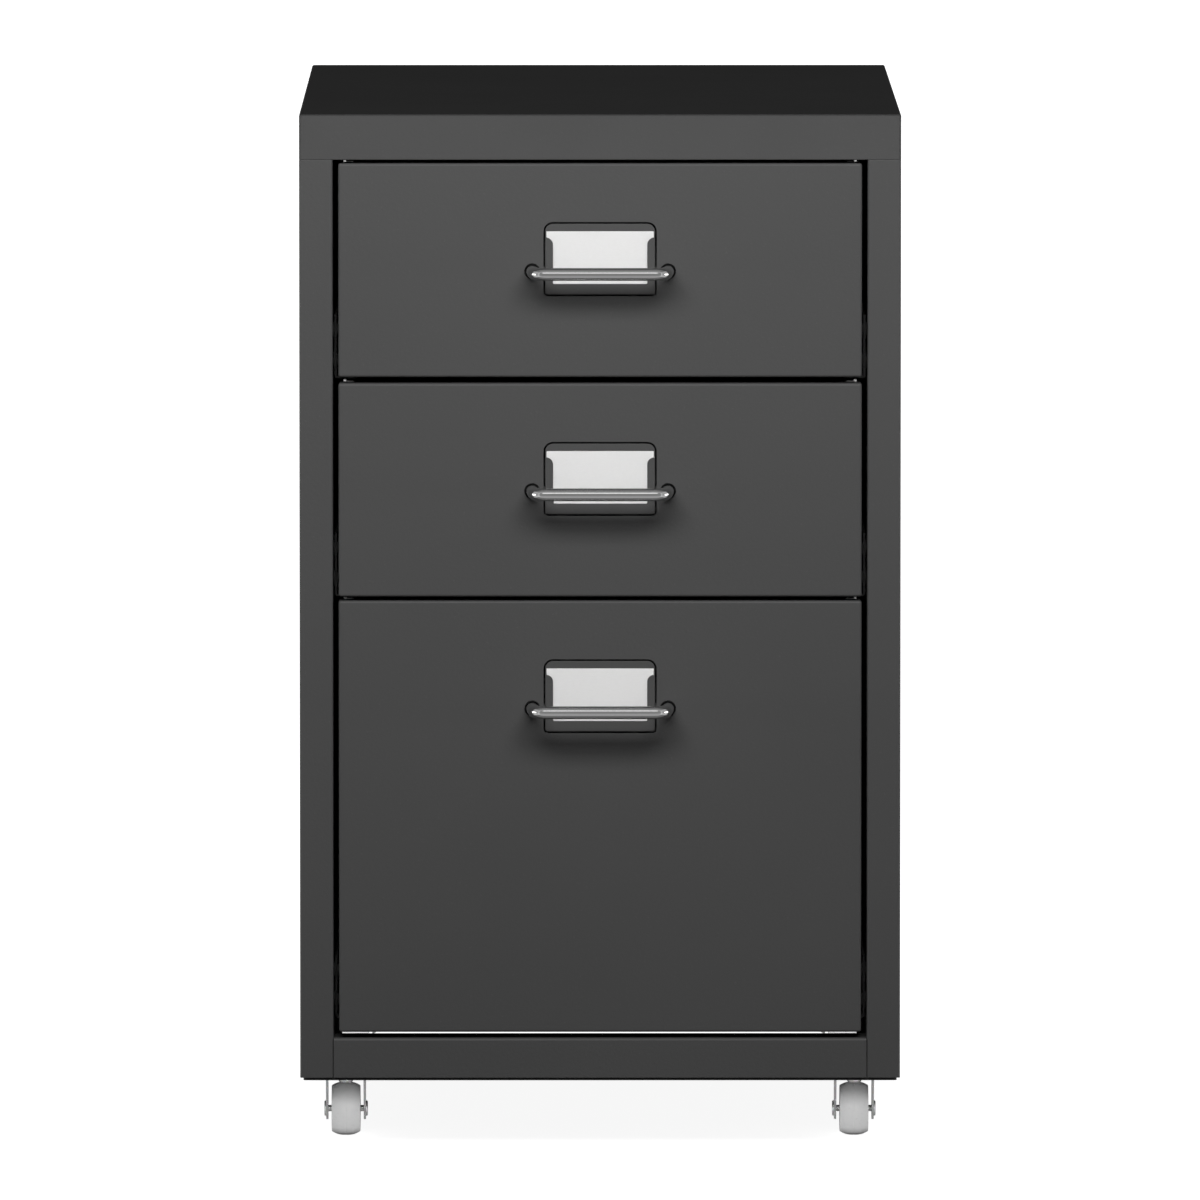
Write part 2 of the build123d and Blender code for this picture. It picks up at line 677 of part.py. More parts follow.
def kingpin():
    plate_top = PLATE_BOTTOM + PLATE_THICKNESS
    head_top = CROWN_BOTTOM - KINGPIN_HEAD_GAP
    head = rod_z(KINGPIN_HEAD_RADIUS, 0, 0, (KINGPIN_HEAD_BOTTOM, head_top))
    head = fillet(edges_at(head, Axis.Z, KINGPIN_HEAD_BOTTOM), KINGPIN_HEAD_EDGE)
    shank = rod_z(KINGPIN_RADIUS, 0, 0, (head_top - OVERLAP, plate_top + OVERLAP))
    swage = rod_z(SWAGE_RADIUS, 0, 0, (plate_top, plate_top + SWAGE_HEIGHT))
    return head + shank + swage


def fork():
    crown_top = CROWN_BOTTOM + FORK_SHEET
    half = FORK_WIDTH / 2
    crown_outline = Circle(CROWN_RADIUS) & Rectangle(FORK_WIDTH, 2 * CROWN_RADIUS)
    crown_outline += Pos(0, CROWN_REAR / 2) * Rectangle(FORK_WIDTH, CROWN_REAR)
    crown = extrude(Pos(0, 0, CROWN_BOTTOM) * crown_outline, amount=FORK_SHEET)
    axle_end = Pos(TRAIL, WHEEL_RADIUS) * Circle(FORK_END_RADIUS)
    shoulder_centre = Pos(
        (CROWN_REAR - LEG_SHOULDER_FRONT) / 2, crown_top - LEG_SHOULDER_HEIGHT / 2
    )
    shoulder = shoulder_centre * Rectangle(
        CROWN_REAR + LEG_SHOULDER_FRONT, LEG_SHOULDER_HEIGHT
    )
    leg_outline = make_hull(axle_end.edges() + shoulder.edges())
    leg = extrude(Plane.YZ.offset(half - FORK_SHEET) * leg_outline, amount=FORK_SHEET)
    body = crown
    for side in both_sides(leg):
        body += side
    long_edges = body.edges().filter_by(Axis.Y).group_by(Axis.Z)[-1]
    outer_edges = [edge for edge in long_edges if abs(abs(edge.center().X) - half) < 0.01]
    body = fillet(outer_edges, CROWN_BEND)
    race_top = crown_top + RACE_HEIGHT
    race = rod_z(RACE_RADIUS, 0, 0, (CROWN_BOTTOM + OVERLAP, race_top))
    race -= rod_z(RACE_RADIUS - FORK_SHEET, 0, 0, (crown_top, race_top + CUT))
    body += race
    body -= rod_z(KINGPIN_RADIUS + RUNNING_FIT, 0, 0, (CROWN_BOTTOM - CUT, race_top + CUT))
    body -= rod_x(AXLE_RADIUS, (-half - CUT, half + CUT), TRAIL, WHEEL_RADIUS)
    return body


def axle():
    """Rivet through the fork with two low domed heads."""
    half = FORK_WIDTH / 2
    head = rod_x(AXLE_HEAD_RADIUS, (half, AXLE_LENGTH / 2), TRAIL, WHEEL_RADIUS)
    head = fillet(edges_at(head, Axis.X, AXLE_LENGTH / 2), AXLE_HEAD_EDGE)
    pin = rod_x(AXLE_RADIUS, (-half - OVERLAP, half + OVERLAP), TRAIL, WHEEL_RADIUS)
    for side in both_sides(head):
        pin += side
    return pin


def wheel():
    """Crowned tread, dished sides and a hub as wide as the rim."""
    half = WHEEL_WIDTH / 2
    flat = TREAD_FLAT / 2
    bore = AXLE_RADIUS + RUNNING_FIT
    dished = half - WHEEL_DISH
    rim_inner = SHOULDER_RADIUS - RIM_THICKNESS
    sides = []
    for sign in (-1, 1):
        sides.append(
            [
                (sign * half, SHOULDER_RADIUS),
                (sign * half, rim_inner),
                (sign * dished, rim_inner - DISH_SLOPE),
                (sign * dished, HUB_RADIUS + DISH_SLOPE),
                (sign * HUB_WIDTH / 2, HUB_RADIUS),
                (sign * HUB_WIDTH / 2, bore),
            ]
        )
    outline = Polyline(*sides[0], *reversed(sides[1]))
    flat_ends = (-flat, WHEEL_RADIUS), (flat, WHEEL_RADIUS)
    left_shoulder = TangentArc(flat_ends[0], sides[0][0], tangent=(-1, 0))
    right_shoulder = TangentArc(flat_ends[1], sides[1][0], tangent=(1, 0))
    tread = [left_shoulder.edge(), Line(*flat_ends).edge(), right_shoulder.edge()]
    section = make_face(outline.edges() + tread)
    return Pos(0, TRAIL, WHEEL_RADIUS) * revolve(section, axis=Axis.X)


def race_balls():
    centre_z = CROWN_BOTTOM + FORK_SHEET + BALL_GAP + BALL_RADIUS
    balls = []
    for index in range(BALLS_PER_RACE):
        angle = 2 * pi * index / BALLS_PER_RACE
        place = Pos(BALL_CIRCLE * cos(angle), BALL_CIRCLE * sin(angle), centre_z)
        balls.append(place * Sphere(BALL_RADIUS))
    return balls


def plate_screws():
    """Screws up through the plate and the base channel, each with its nut."""
    screws = []
    for dx, dy in screw_corners():
        head_bottom = PLATE_BOTTOM - PLATE_SCREW_HEAD
        head = rod_z(SCREW_HEAD_RADIUS, dx, dy, (head_bottom, PLATE_BOTTOM))
        head = fillet(edges_at(head, Axis.Z, head_bottom), PLATE_SCREW_EDGE)
        shank_z = (PLATE_BOTTOM - OVERLAP, CHANNEL_TOP + PLATE_SCREW_TIP)
        shank = rod_z(SCREW_RADIUS, dx, dy, shank_z)
        nut_outline = RegularPolygon(SCREW_HEAD_RADIUS, 6)
        nut = extrude(Pos(dx, dy, CHANNEL_TOP) * nut_outline, amount=NUT_HEIGHT)
        screws.append(head + shank + nut)
    return screws


# ---- Rivets and screws of the cabinet ----
def rivet(y, z, inner_x):
    """Rivet on the right side, headed inside at inner_x and closed behind the stile return."""
    outer_x = STILE_X + SHEET
    shank = rod_x(RIVET_RADIUS, (inner_x, outer_x), y, z)
    head = rod_x(RIVET_HEAD_RADIUS, (inner_x - RIVET_HEAD, inner_x), y, z)
    head = fillet(edges_at(head, Axis.X, inner_x - RIVET_HEAD), RIVET_HEAD_EDGE)
    tail = rod_x(RIVET_TAIL_RADIUS, (outer_x, outer_x + RIVET_TAIL), y, z)
    return head + shank + tail


def cap_screw(x, y):
    """Screw up through the side panel's flange into the cap's lip."""
    flange_bottom = CAP_SEAM - SHEET
    head_outline = RegularPolygon(SCREW_HEAD_RADIUS, 6)
    head = extrude(Pos(x, y, flange_bottom - SCREW_HEAD) * head_outline, amount=SCREW_HEAD)
    return head + rod_z(SCREW_RADIUS, x, y, (flange_bottom - OVERLAP, CAP_SEAM + SCREW_TIP))


# ---- Every node ----
def save_shell():
    panel = right_side_panel()
    channel = front_base_channel()
    mid_depth = Plane.XZ.offset(-(FRONT + BACK) / 2)
    save("top_cap", top_cap())
    save("right_side_panel", panel)
    save("left_side_panel", mirror(panel, about=Plane.YZ))
    save("back_panel", back_panel())
    save("front_plinth", front_plinth())
    save("front_base_channel", channel)
    save("rear_base_channel", mirror(channel, about=mid_depth))
    rail_face = RAIL_WEB_X - RAIL_SHEET
    fold_face = PLINTH_HALF_WIDTH - SHEET
    rail_rivets = [rivet(y, z, rail_face) for y, z in rail_rivet_places()]
    shell_rivets = [rivet(y, z, fold_face) for y, z in SHELL_RIVETS]
    save("rail_rivets", [side for one in rail_rivets for side in both_sides(one)])
    save("shell_rivets", [side for one in shell_rivets for side in both_sides(one)])
    screws = [cap_screw(CAP_SCREW_X, y) for y in CAP_SCREW_YS]
    save("cap_screws", [side for one in screws for side in both_sides(one)])


def save_drawer(level):
    name, top = level["name"], level["top"]
    rail = right_rail(level["rail_bottom"])
    save(f"{name}_right_rail", rail)
    save(f"{name}_left_rail", mirror(rail, about=Plane.YZ))
    save(f"{name}_drawer_front", drawer_front(top, level["bottom"]))
    save(f"{name}_drawer_tray", drawer_tray(top, level["rail_bottom"]))
    save(f"{name}_label_holder", label_holder(top))
    save(f"{name}_label_card", label_card(top))
    save(f"{name}_pull", drawer_pull(top))
    save(f"{name}_pull_ferrules", pull_ferrules(top))
    save(f"{name}_drawer_glides", drawer_glides(top))


def save_casters():
    moving = {"fork": fork(), "axle": axle(), "wheel": wheel()}
    fixed = {"plate": caster_plate(), "kingpin": kingpin()}
    balls, screws = [], []
    for end, kingpin_y, turn in (
        ("front", FRONT + KINGPIN_SETBACK, 0),
        ("rear", BACK - KINGPIN_SETBACK, 180),
    ):
        for side, x in (("left", -CASTER_X), ("right", CASTER_X)):
            place = Pos(x, kingpin_y, 0) * Rot(0, 0, turn)
            for piece, shape in {**moving, **fixed}.items():
                save(f"{end}_{side}_caster_{piece}", place * shape)
            balls += [place * ball for ball in race_balls()]
            screws += [place * screw for screw in plate_screws()]
    save("caster_balls", balls)
    save("caster_screws", screws)


os.makedirs("parts", exist_ok=True)
save_shell()
for drawer_level in drawer_levels():
    save_drawer(drawer_level)
save_casters()
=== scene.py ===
import json
import math

import bmesh
import bpy
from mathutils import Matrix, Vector


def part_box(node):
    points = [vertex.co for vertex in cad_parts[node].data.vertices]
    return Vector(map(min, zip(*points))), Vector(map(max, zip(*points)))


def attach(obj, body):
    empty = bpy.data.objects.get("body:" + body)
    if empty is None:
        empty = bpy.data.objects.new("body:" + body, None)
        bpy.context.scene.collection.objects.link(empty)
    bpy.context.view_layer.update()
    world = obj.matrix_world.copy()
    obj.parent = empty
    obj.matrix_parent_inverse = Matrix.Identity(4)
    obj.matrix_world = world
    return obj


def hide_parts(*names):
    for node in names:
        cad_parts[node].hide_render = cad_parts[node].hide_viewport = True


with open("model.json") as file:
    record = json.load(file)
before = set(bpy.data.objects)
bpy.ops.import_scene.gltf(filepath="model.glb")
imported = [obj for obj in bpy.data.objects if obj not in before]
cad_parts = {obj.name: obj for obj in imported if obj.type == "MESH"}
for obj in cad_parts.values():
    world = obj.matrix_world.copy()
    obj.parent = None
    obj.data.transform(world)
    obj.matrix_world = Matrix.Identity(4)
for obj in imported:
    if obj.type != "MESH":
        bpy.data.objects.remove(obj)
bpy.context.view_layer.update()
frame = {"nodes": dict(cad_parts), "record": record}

MM = 0.001
NODES = frame["nodes"]
SUBPARTS = frame["record"]["subparts"]
SLOT_OF = {subpart["node"]: subpart["material_slot"] for subpart in SUBPARTS}
BODIES = frame["record"]["behaviour"]["bodies"]
BODY_OF = {node: body for body, nodes in BODIES.items() for node in nodes}
DRAWERS = ("top", "middle", "bottom")
CORNERS = ("front_left", "front_right", "rear_left", "rear_right")
FACE_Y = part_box("top_cap")[0].y  # plane of the cabinet's front


# ---- Node graph helpers ----
class Maker:
    """Builds one procedural material; texture lengths are given in millimetres."""

    def __init__(self, name):
        self.material = bpy.data.materials.new(name)
        self.material.use_nodes = True
        self.tree = self.material.node_tree
        self.shader = self.tree.nodes["Principled BSDF"]
        coordinates = self.node("ShaderNodeTexCoord")
        self.place = coordinates.outputs["Object"]
        self.uv = coordinates.outputs["UV"]

    def node(self, kind, **settings):
        node = self.tree.nodes.new(kind)
        for name, value in settings.items():
            setattr(node, name, value)
        return node

    def feed(self, socket, value):
        if isinstance(value, bpy.types.NodeSocket):
            self.tree.links.new(value, socket)
        else:
            socket.default_value = value

    def math(self, operation, a, b=0.0, clamp=False):
        node = self.node("ShaderNodeMath", operation=operation, use_clamp=clamp)
        self.feed(node.inputs[0], a)
        self.feed(node.inputs[1], b)
        return node.outputs[0]

    def stretched(self, scale, vector=None):
        """Coordinates multiplied axis by axis, for textures that run one way."""
        node = self.node("ShaderNodeVectorMath", operation="MULTIPLY")
        self.feed(node.inputs[0], vector or self.place)
        node.inputs[1].default_value = scale
        return node.outputs[0]

    def noise(self, size, detail=2.0, roughness=0.5, vector=None, distortion=0.0):
        """Noise from 0 to 1 whose blobs are about size millimetres across."""
        node = self.node("ShaderNodeTexNoise")
        self.feed(node.inputs["Vector"], vector or self.place)
        node.inputs["Scale"].default_value = 1 / (size * MM)
        node.inputs["Detail"].default_value = detail
        node.inputs["Roughness"].default_value = roughness
        node.inputs["Distortion"].default_value = distortion
        return node.outputs["Fac"]

    def cells(self, size):
        """Random colours in cells about size millimetres across."""
        node = self.node("ShaderNodeTexVoronoi")
        self.feed(node.inputs["Vector"], self.place)
        node.inputs["Scale"].default_value = 1 / (size * MM)
        return node.outputs["Color"]

    def remap(self, value, from_low, from_high, to_low=0.0, to_high=1.0):
        node = self.node("ShaderNodeMapRange", interpolation_type="SMOOTHSTEP")
        self.feed(node.inputs["Value"], value)
        node.inputs["From Min"].default_value = from_low
        node.inputs["From Max"].default_value = from_high
        node.inputs["To Min"].default_value = to_low
        node.inputs["To Max"].default_value = to_high
        return node.outputs["Result"]

    def blend(self, factor, first, second):
        node = self.node("ShaderNodeMix", data_type="RGBA")
        self.feed(node.inputs["Factor"], factor)
        self.feed(node.inputs["A"], first)
        self.feed(node.inputs["B"], second)
        return node.outputs["Result"]

    def edges(self, radius):
        """Mask of the strips, radius millimetres wide, along the edges, and the rounded normal."""
        rounded = self.node("ShaderNodeBevel", samples=6)
        rounded.inputs["Radius"].default_value = radius * MM
        geometry = self.node("ShaderNodeNewGeometry")
        dot = self.node("ShaderNodeVectorMath", operation="DOT_PRODUCT")
        self.feed(dot.inputs[0], rounded.outputs["Normal"])
        self.feed(dot.inputs[1], geometry.outputs["Normal"])
        return self.remap(dot.outputs["Value"], 0.995, 0.9), rounded.outputs["Normal"]

    def bump(self, height, depth, strength=1.0, below=None):
        """Bump of depth millimetres, stacked on the bump below."""
        node = self.node("ShaderNodeBump")
        node.inputs["Strength"].default_value = strength
        node.inputs["Distance"].default_value = depth * MM
        self.feed(node.inputs["Height"], height)
        if below is not None:
            self.feed(node.inputs["Normal"], below)
        return node.outputs["Normal"]

    def finish(self, colour, roughness, normal, metallic=0.0, specular=0.5):
        inputs = self.shader.inputs
        self.feed(inputs["Base Color"], colour)
        self.feed(inputs["Roughness"], roughness)
        self.feed(inputs["Normal"], normal)
        inputs["Metallic"].default_value = metallic
        inputs["Specular IOR Level"].default_value = specular
        return self.material


def grey(level, tint=0.0):
    """Linear grey; a positive tint is warmer."""
    return (level * (1 + tint), level, level * (1 - tint), 1.0)


# ---- Materials ----
def powder_coat():
    m = Maker("powder_coat")
    cloud = m.noise(120, detail=3)
    peel = m.noise(1.6, detail=1)
    grain = m.noise(0.35, detail=2, roughness=0.7)
    specks = m.remap(m.noise(1.1, detail=3), 0.66, 0.74)
    edge, rounded = m.edges(0.3)
    # Strips along every edge, broken up by noise: partly edge wear, partly a painted highlight
    # standing in for the light lines that the bends catch.
    wear_and_edge_highlight = m.math("MULTIPLY", edge, m.remap(m.noise(7, detail=4), 0.35, 0.65, 0.35, 1.0))
    colour = m.blend(cloud, grey(0.083, -0.004), grey(0.092, 0.004))
    colour = m.blend(m.math("MULTIPLY", grain, 0.35), colour, grey(0.105))
    colour = m.blend(m.math("MULTIPLY", specks, 0.25), colour, grey(0.14))
    # Painted highlight and wear: the edge strips are lightened towards grey 0.15.
    colour = m.blend(m.math("MULTIPLY", wear_and_edge_highlight, 0.55), colour, grey(0.15))
    rough = m.remap(grain, 0.25, 0.75, 0.52, 0.62)
    rough = m.math("ADD", rough, m.remap(cloud, 0.3, 0.7, -0.03, 0.03))
    rough = m.math("SUBTRACT", rough, m.math("MULTIPLY", wear_and_edge_highlight, 0.14))
    normal = m.bump(peel, 0.05, below=rounded)
    normal = m.bump(grain, 0.012, below=normal)
    return m.finish(colour, rough, normal, specular=0.35)


def zinc_plating():
    m = Maker("zinc_plated_steel")
    cloud = m.noise(6, detail=4, roughness=0.6)
    spangle = m.cells(1.6)
    grain = m.noise(0.15, detail=2)
    rolled = m.noise(0.5, detail=2, vector=m.stretched((1.0, 0.08, 1.0)))
    edge, rounded = m.edges(0.35)
    colour = m.blend(cloud, grey(0.50, -0.03), grey(0.62, 0.02))
    colour = m.blend(0.06, colour, spangle)
    colour = m.blend(m.math("MULTIPLY", edge, 0.5), colour, grey(0.75))
    dull = m.remap(m.noise(2.5, detail=5), 0.4, 0.7, 0.0, 0.16)
    rough = m.math("ADD", m.remap(rolled, 0.3, 0.7, 0.30, 0.40), dull)
    normal = m.bump(rolled, 0.004, below=rounded)
    normal = m.bump(grain, 0.0015, below=normal)
    return m.finish(colour, rough, normal, metallic=1.0)


def bearing_steel():
    m = Maker("bearing_steel")
    haze = m.noise(0.4, detail=4)
    smear = m.noise(1.5, detail=3)
    colour = m.blend(haze, grey(0.62), grey(0.72, 0.01))
    colour = m.blend(m.remap(smear, 0.5, 0.75, 0.0, 0.5), colour, grey(0.35, 0.08))
    rough = m.remap(smear, 0.35, 0.7, 0.10, 0.32)
    return m.finish(colour, rough, m.bump(haze, 0.002), metallic=1.0)


def plated_wire():
    """Nickel plating over drawn wire: fine lines run along the wire, by its own UV."""
    m = Maker("plated_wire")
    along = m.stretched((4.0, 420.0, 0.0), m.uv)
    lines = m.noise(1000, detail=3, roughness=0.6, vector=along)
    haze = m.noise(4.0, detail=4, roughness=0.6)
    grain = m.noise(0.3, detail=2)
    colour = m.blend(lines, grey(0.58, 0.006), grey(0.64, -0.004))
    colour = m.blend(m.remap(haze, 0.55, 0.8, 0.0, 0.25), colour, grey(0.50, 0.02))
    rough = m.math("ADD", m.remap(lines, 0.3, 0.7, 0.09, 0.13), m.remap(haze, 0.5, 0.8, 0.0, 0.06))
    normal = m.bump(lines, 0.0007)
    normal = m.bump(grain, 0.0004, below=normal)
    return m.finish(colour, rough, normal, metallic=1.0)


def moulded(name, dark, light, rough_low, rough_high, texture=0.006, specular=0.45, wear=None):
    """Injection-moulded plastic: fine spark-eroded texture, flow marks and rubbed edges."""
    m = Maker(name)
    spark = m.noise(0.22, detail=3, roughness=0.65)
    flow = m.noise(5.0, detail=3, distortion=1.2)
    edge, rounded = m.edges(0.4)
    colour = m.blend(flow, dark, light)
    rubbed = m.math("MULTIPLY", edge, m.remap(m.noise(2.0, detail=3), 0.35, 0.7, 0.1, 0.8))
    colour = m.blend(m.math("MULTIPLY", rubbed, 0.5), colour, wear or light)
    rough = m.remap(spark, 0.3, 0.7, rough_low, rough_high)
    rough = m.math("SUBTRACT", rough, m.math("MULTIPLY", rubbed, 0.12))
    normal = m.bump(spark, texture, below=rounded)
    normal = m.bump(flow, 0.02, strength=0.5, below=normal)
    return m.finish(colour, rough, normal, specular=specular)


def wheel_plastic():
    """Pale moulded tyre: dust and fine scuffs in streaks drawn out along the axle."""
    m = Maker("wheel_plastic")
    spark = m.noise(0.25, detail=3, roughness=0.65)
    flow = m.noise(4.0, detail=3, distortion=1.0)
    scuff = m.noise(0.7, detail=5, roughness=0.7, vector=m.stretched((0.25, 1.0, 1.0)))
    edge, _ = m.edges(0.5)
    colour = m.blend(flow, grey(0.76, -0.004), grey(0.82, 0.004))
    colour = m.blend(m.remap(scuff, 0.56, 0.8, 0.0, 0.35), colour, grey(0.36, 0.03))
    colour = m.blend(m.math("MULTIPLY", edge, 0.25), colour, grey(0.86))
    rough = m.math("ADD", m.remap(spark, 0.3, 0.7, 0.42, 0.52), m.remap(scuff, 0.5, 0.8, 0.0, 0.2))
    normal = m.bump(spark, 0.006)
    normal = m.bump(scuff, 0.02, strength=0.6, below=normal)
    return m.finish(colour, rough, normal, specular=0.4)


def white_card():
    """Uncoated card: fibres, fine fuzz and slight mottling."""
    m = Maker("white_card")
    fibres = m.noise(0.5, detail=4, roughness=0.75, vector=m.stretched((0.3, 1.0, 1.0)))
    fuzz = m.noise(0.09, detail=2)
    mottle = m.noise(9, detail=3)
    colour = m.blend(fibres, grey(0.80, 0.006), grey(0.88, 0.0))
    colour = m.blend(m.math("MULTIPLY", mottle, 0.3), colour, grey(0.82, 0.012))
    rough = m.remap(fuzz, 0.3, 0.7, 0.80, 0.92)
    normal = m.bump(fibres, 0.012)
    normal = m.bump(fuzz, 0.006, below=normal)
    return m.finish(colour, rough, normal, specular=0.2)


def make_materials():
    return {
        "powder_coat": powder_coat(),
        "zinc_plated_steel": zinc_plating(),
        "bearing_steel": bearing_steel(),
        "plated_wire": plated_wire(),
        "black_plastic": moulded(
            "black_plastic", grey(0.006), grey(0.01), 0.55, 0.66, specular=0.2, wear=grey(0.02)
        ),
        "white_nylon": moulded(
            "white_nylon", grey(0.66, 0.01), grey(0.76, 0.01), 0.34, 0.44, texture=0.003
        ),
        "wheel_plastic": wheel_plastic(),
        "white_card": white_card(),
    }


def paint(piece, material):
    piece.data.materials.clear()
    piece.data.materials.append(material)


def paint_cad_nodes(materials):
    for node, slot in SLOT_OF.items():
        paint(NODES[node], materials[slot])


# ---- Meshes drawn here, in millimetres, in place of CAD nodes of the same size ----
SHARP_ANGLE = 40  # degrees; flatter edges are shaded smooth
UV_TURN = 16  # the UV height of one turn round a piece


def soften(corners, steps=6):
    """Outline through (along, radius, fillet) corners, each corner rounded by its fillet."""
    outline = []
    for index, (along, radius, fillet) in enumerate(corners):
        corner = Vector((along, radius))
        if fillet == 0:
            outline.append(corner)
            continue
        back = (Vector(corners[index - 1][:2]) - corner).normalized()
        ahead = (Vector(corners[(index + 1) % len(corners)][:2]) - corner).normalized()
        half_angle = back.angle(ahead) / 2
        middle = corner + (back + ahead).normalized() * (fillet / math.sin(half_angle))
        reach = fillet / math.tan(half_angle)
        start = (corner + back * reach - middle).normalized()
        end = (corner + ahead * reach - middle).normalized()
        for step in range(steps + 1):
            outline.append(middle + start.slerp(end, step / steps) * fillet)
    return outline


def skin(name, rings, lengths, looped=False):
    """Mesh over rings of points; its UV is metres along and metres around."""
    shape = bmesh.new()
    uv_layer = shape.loops.layers.uv.new("UVMap")
    rows = [[shape.verts.new(point * MM) for point in ring] for ring in rings]
    pairs = list(zip(range(len(rows)), range(1, len(rows))))
    if looped:
        pairs.append((len(rows) - 1, 0))
    for first, second in pairs:
        count = max(len(rows[first]), len(rows[second]))
        for index in range(count):
            after = (index + 1) % count
            near, far = rows[first], rows[second]
            if len(near) == 1:
                corners = [(near[0], 0, index), (far[after], 1, index + 1), (far[index], 1, index)]
            elif len(far) == 1:
                corners = [(near[index], 0, index), (near[after], 0, index + 1), (far[0], 1, index)]
            else:
                corners = [
                    (near[index], 0, index), (near[after], 0, index + 1),
                    (far[after], 1, index + 1), (far[index], 1, index),
                ]
            face = shape.faces.new([vertex for vertex, _, _ in corners])
            face.smooth = True
            for loop, (_, row, around) in zip(face.loops, corners):
                place = lengths[first] if row == 0 else lengths[first + 1]
                loop[uv_layer].uv = (place * MM, around / count * UV_TURN * MM)
    bmesh.ops.recalc_face_normals(shape, faces=shape.faces[:])
    for edge in shape.edges:
        if edge.calc_face_angle(0) > math.radians(SHARP_ANGLE):
            edge.smooth = False
    mesh = bpy.data.meshes.new(name)
    shape.to_mesh(mesh)
    shape.free()
    piece = bpy.data.objects.new(name, mesh)
    bpy.context.scene.collection.objects.link(piece)
    return piece


def running_lengths(points):
    lengths = [0.0]
    for previous, point in zip(points, points[1:]):
        lengths.append(lengths[-1] + (point - previous).length)
    lengths.append(lengths[-1] + (points[0] - points[-1]).length)
    return lengths


def lathe(name, outline, centre, axis, segments=96, looped=False):
    """Turned piece: an (along, radius) outline spun round an axis through centre, in metres."""
    axis = Vector(axis)
    side = Vector((0, 0, 1)) if abs(axis.z) < 0.5 else Vector((1, 0, 0))
    third = axis.cross(side)
    rings = []
    for along, radius in outline:
        base = centre / MM + axis * along
        if radius < 1e-6:
            rings.append([base])
            continue
        angles = [2 * math.pi * index / segments for index in range(segments)]
        rings.append([base + (side * math.cos(a) + third * math.sin(a)) * radius for a in angles])
    return skin(name, rings, running_lengths(outline), looped)


def joined(name, pieces):
    """One object out of several, with their UVs kept."""
    shape = bmesh.new()
    for piece in pieces:
        shape.from_mesh(piece.data)
        mesh = piece.data
        bpy.data.objects.remove(piece)
        bpy.data.meshes.remove(mesh)
    whole = bpy.data.meshes.new(name)
    shape.to_mesh(whole)
    shape.free()
    result = bpy.data.objects.new(name, whole)
    bpy.context.scene.collection.objects.link(result)
    return result


def stand_in(piece, node, materials):
    """The piece is shown instead of the CAD node and moves with the same body."""
    paint(piece, materials[SLOT_OF[node]])
    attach(piece, BODY_OF[node])
    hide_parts(node)
    return piece


PULL_WIRE_RADIUS = 3.0
PULL_BEND = 6.0
PULL_LEAN = 1.5  # the feet stand this much further out than the ends of the bar
PULL_KNEE = 2.0  # the legs are straight this far in front of the drawer's face
PULL_BEND_STEPS = 18
PULL_SEGMENTS = 56
PEEN_LENGTH = 1.4
PEEN_EDGES = (0.35, 0.6)


def make_pull(drawer, materials):
    """Bow of round wire: leg, bend, bar, bend, leg, with both ends peened over."""
    low, high = (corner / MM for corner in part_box(f"{drawer}_pull"))
    peen_radius = (high.z - low.z) / 2
    foot = high.x - peen_radius
    half = foot - PULL_LEAN
    bar_y = low.y + PULL_WIRE_RADIUS
    knee_y = FACE_Y / MM - PULL_KNEE
    neck_y = high.y - PEEN_LENGTH
    z = (low.z + high.z) / 2
    path = soften([
        (-foot, neck_y, 0), (-foot, knee_y, PULL_BEND), (-half, bar_y, PULL_BEND),
        (half, bar_y, PULL_BEND), (foot, knee_y, PULL_BEND), (foot, neck_y, 0),
    ], steps=PULL_BEND_STEPS)
    stations = []  # place, direction and radius of every ring
    for index, place in enumerate(path):
        before = path[max(index - 1, 0)]
        after = path[min(index + 1, len(path) - 1)]
        stations.append((place, (after - before).normalized(), PULL_WIRE_RADIUS))
    peen = soften([
        (0.0, PULL_WIRE_RADIUS, 0), (0.0, peen_radius, PEEN_EDGES[0]),
        (PEEN_LENGTH, peen_radius, PEEN_EDGES[1]), (PEEN_LENGTH, 0.0, 0),
    ])[1:]
    for along, radius in peen:
        stations.append((Vector((foot, neck_y + along)), Vector((0, 1)), radius))
        stations.insert(0, (Vector((-foot, neck_y + along)), Vector((0, -1)), radius))
    turns = [2 * math.pi * index / PULL_SEGMENTS for index in range(PULL_SEGMENTS)]
    rings = []
    for place, direction, radius in stations:
        middle = Vector((place.x, place.y, z))
        if radius < 1e-6:
            rings.append([middle])
            continue
        outward = Vector((direction.y, -direction.x, 0)) * radius
        upward = Vector((0, 0, radius))
        rings.append([middle + outward * math.cos(t) + upward * math.sin(t) for t in turns])
    pull = skin(f"{drawer}_pull_wire", rings, running_lengths([station[0] for station in stations]))
    stand_in(pull, f"{drawer}_pull", materials)


FERRULE_PROUD = 1.2
FERRULE_NECK_RADIUS = 3.35
FERRULE_BORE = 3.02
FERRULE_SEGMENTS = 72


def make_ferrules(drawer, materials):
    node = f"{drawer}_pull_ferrules"
    low, high = (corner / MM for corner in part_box(node))
    radius = (high.z - low.z) / 2
    depth = high.y - low.y
    outline = soften([
        (0.0, FERRULE_BORE, 0.25), (0.0, radius, 0.6), (FERRULE_PROUD, radius, 0.15),
        (FERRULE_PROUD, FERRULE_NECK_RADIUS, 0), (depth, FERRULE_NECK_RADIUS, 0.2),
        (depth, FERRULE_BORE, 0.15),
    ])
    sleeves = []
    for x in (low.x + radius, high.x - radius):
        place = Vector((x, low.y, (low.z + high.z) / 2)) * MM
        sleeves.append(lathe("sleeve", outline, place, (0, 1, 0), FERRULE_SEGMENTS, looped=True))
    stand_in(joined(f"{drawer}_ferrules", sleeves), node, materials)


